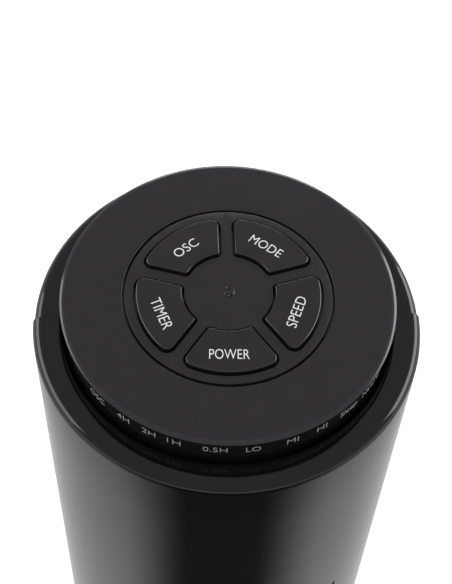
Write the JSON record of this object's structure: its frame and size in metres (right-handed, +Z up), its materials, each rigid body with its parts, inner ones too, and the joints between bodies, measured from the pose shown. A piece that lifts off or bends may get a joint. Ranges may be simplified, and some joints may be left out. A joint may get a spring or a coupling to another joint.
{
  "type": "tower fan",
  "caption": "Round glossy black tower fan that swivels on a domed base, with a disc control panel of sector-shaped push buttons on top.",
  "frame": {"origin": "centre of the base on the floor", "axes": "+Z up along the column, -Y towards the front air outlet, +X to the right of a person who faces the outlet"},
  "size_m": [0.28, 0.28, 0.8009],
  "materials": {
    "gloss_black": "high gloss moulded black",
    "panel_grey": "fine satin grain, charcoal",
    "button_grey": "satin charcoal with polished bevels",
    "band_black": "polished smoked black",
    "satin_black": "satin moulded black",
    "inner_plastic": "moulded black",
    "acetal": "natural acetal",
    "rubber": "matt rubber",
    "steel": "zinc-plated",
    "laminations": "varnished steel laminations",
    "casting": "die-cast",
    "copper": "enamelled copper wire",
    "bronze": "sintered bronze",
    "circuit": "solder-masked board",
    "white_part": "moulded white"
  },
  "bodies": {
    "base": {"base_plate": "satin_black", "base_cover": "gloss_black", "ballast_plate": "steel", "rubber_feet": "rubber", "base_screws": "steel", "cord_inlet": "rubber", "swivel_bush": "acetal", "osc_motor": "steel", "osc_motor_screws": "steel"},
    "drive_pinion": {"osc_pinion": "acetal", "osc_shaft": "steel"},
    "column": {"column_foot": "satin_black", "swivel_gear": "acetal", "swivel_screws": "steel", "front_shell": "gloss_black", "rear_shell": "gloss_black", "front_grille": "satin_black", "rear_grille": "satin_black", "volute_wall": "inner_plastic", "tongue_wall": "inner_plastic", "carry_handle": "satin_black", "shell_screws": "steel", "motor_mount": "inner_plastic", "motor_grommets": "rubber", "motor_screws": "steel", "motor_upper_bracket": "casting", "motor_lower_bracket": "casting", "motor_stator": "laminations", "motor_windings": "copper", "motor_bushes": "bronze", "power_board": "circuit", "run_capacitor": "white_part", "motor_cable": "rubber", "control_cable": "white_part", "top_bulkhead": "inner_plastic", "top_bearing": "bronze", "control_housing": "inner_plastic", "display_band": "band_black", "leds": "white_part", "control_board": "circuit", "tact_switches": "inner_plastic", "ir_receiver": "band_black", "buzzer": "inner_plastic", "control_disc": "panel_grey", "button_plate": "panel_grey"},
    "impeller": {"impeller": "inner_plastic", "coupling_bush": "rubber", "motor_shaft": "steel", "motor_rotor": "laminations", "top_spindle": "steel"},
    "power_button": {"power_button": "button_grey"},
    "speed_button": {"speed_button": "button_grey"},
    "mode_button": {"mode_button": "button_grey"},
    "osc_button": {"osc_button": "button_grey"},
    "timer_button": {"timer_button": "button_grey"}
  },
  "joints": [
    {"name": "oscillation", "type": "hinge", "parent": "base", "child": "column", "pos_m": [0, 0, 0.05], "axis": [0, 0, 1], "range_deg": [-40, 40]},
    {"name": "pinion_spin", "type": "hinge", "parent": "base", "child": "drive_pinion", "pos_m": [0, 0.045, 0.033], "axis": [0, 0, 1], "range_deg": [-161, 161]},
    {"name": "impeller_spin", "type": "hinge", "parent": "column", "child": "impeller", "pos_m": [0, 0, 0.4], "axis": [0, 0, 1], "continuous": true},
    {"name": "power_press", "type": "slide", "parent": "column", "child": "power_button", "axis": [0, 0, -1], "range_m": [0, 0.0012], "stiffness_N_per_m": 1500, "springref_m": -0.0003},
    {"name": "speed_press", "type": "slide", "parent": "column", "child": "speed_button", "axis": [0, 0, -1], "range_m": [0, 0.0012], "stiffness_N_per_m": 1500, "springref_m": -0.0003},
    {"name": "mode_press", "type": "slide", "parent": "column", "child": "mode_button", "axis": [0, 0, -1], "range_m": [0, 0.0012], "stiffness_N_per_m": 1500, "springref_m": -0.0003},
    {"name": "osc_press", "type": "slide", "parent": "column", "child": "osc_button", "axis": [0, 0, -1], "range_m": [0, 0.0012], "stiffness_N_per_m": 1500, "springref_m": -0.0003},
    {"name": "timer_press", "type": "slide", "parent": "column", "child": "timer_button", "axis": [0, 0, -1], "range_m": [0, 0.0012], "stiffness_N_per_m": 1500, "springref_m": -0.0003}
  ],
  "couplings": [
    {"joint": "pinion_spin", "follows": "oscillation", "ratio": -4}
  ]
}
